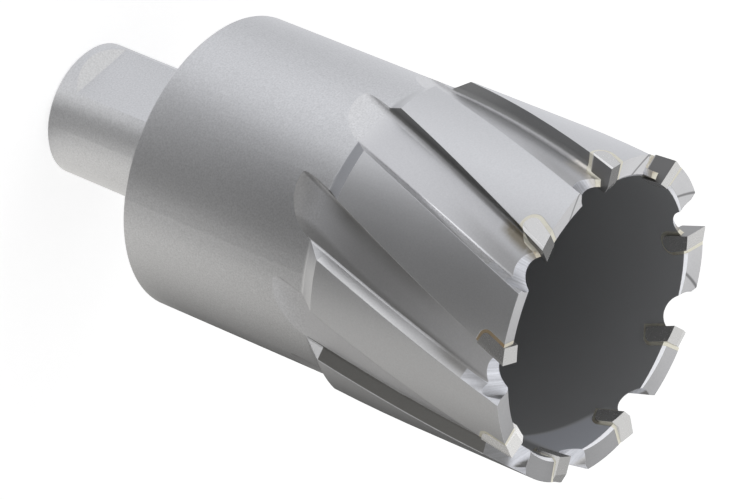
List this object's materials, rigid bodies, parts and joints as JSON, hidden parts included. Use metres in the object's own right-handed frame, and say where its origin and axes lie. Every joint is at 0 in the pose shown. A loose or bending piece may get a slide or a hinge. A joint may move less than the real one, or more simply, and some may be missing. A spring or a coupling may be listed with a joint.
{
  "type": "annular cutter",
  "caption": "Hollow metal-cutting tool: a flatted drive shank, a plain cylindrical back and a deep cup with helical flutes, whose mouth carries brazed carbide tips.",
  "frame": {"origin": "on the cutter's axis, in the plane of the shank's end", "axes": "+Z along the axis towards the cutting mouth; the shank's drive flat faces -Y"},
  "size_m": [0.0453, 0.0453, 0.0882],
  "materials": {
    "tool_steel": "ground and blasted bare tool steel, satin",
    "carbide": "ground cemented carbide",
    "braze": "thin seam of dull gold-coloured filler metal"
  },
  "bodies": {
    "root": {"cutter_body": "tool_steel", "carbide_tip_1": "carbide", "carbide_tip_2": "carbide", "carbide_tip_3": "carbide", "carbide_tip_4": "carbide", "carbide_tip_5": "carbide", "carbide_tip_6": "carbide", "carbide_tip_7": "carbide", "carbide_tip_8": "carbide", "carbide_tip_9": "carbide", "braze_joint_1": "braze", "braze_joint_2": "braze", "braze_joint_3": "braze", "braze_joint_4": "braze", "braze_joint_5": "braze", "braze_joint_6": "braze", "braze_joint_7": "braze", "braze_joint_8": "braze", "braze_joint_9": "braze"}
  },
  "joints": []
}
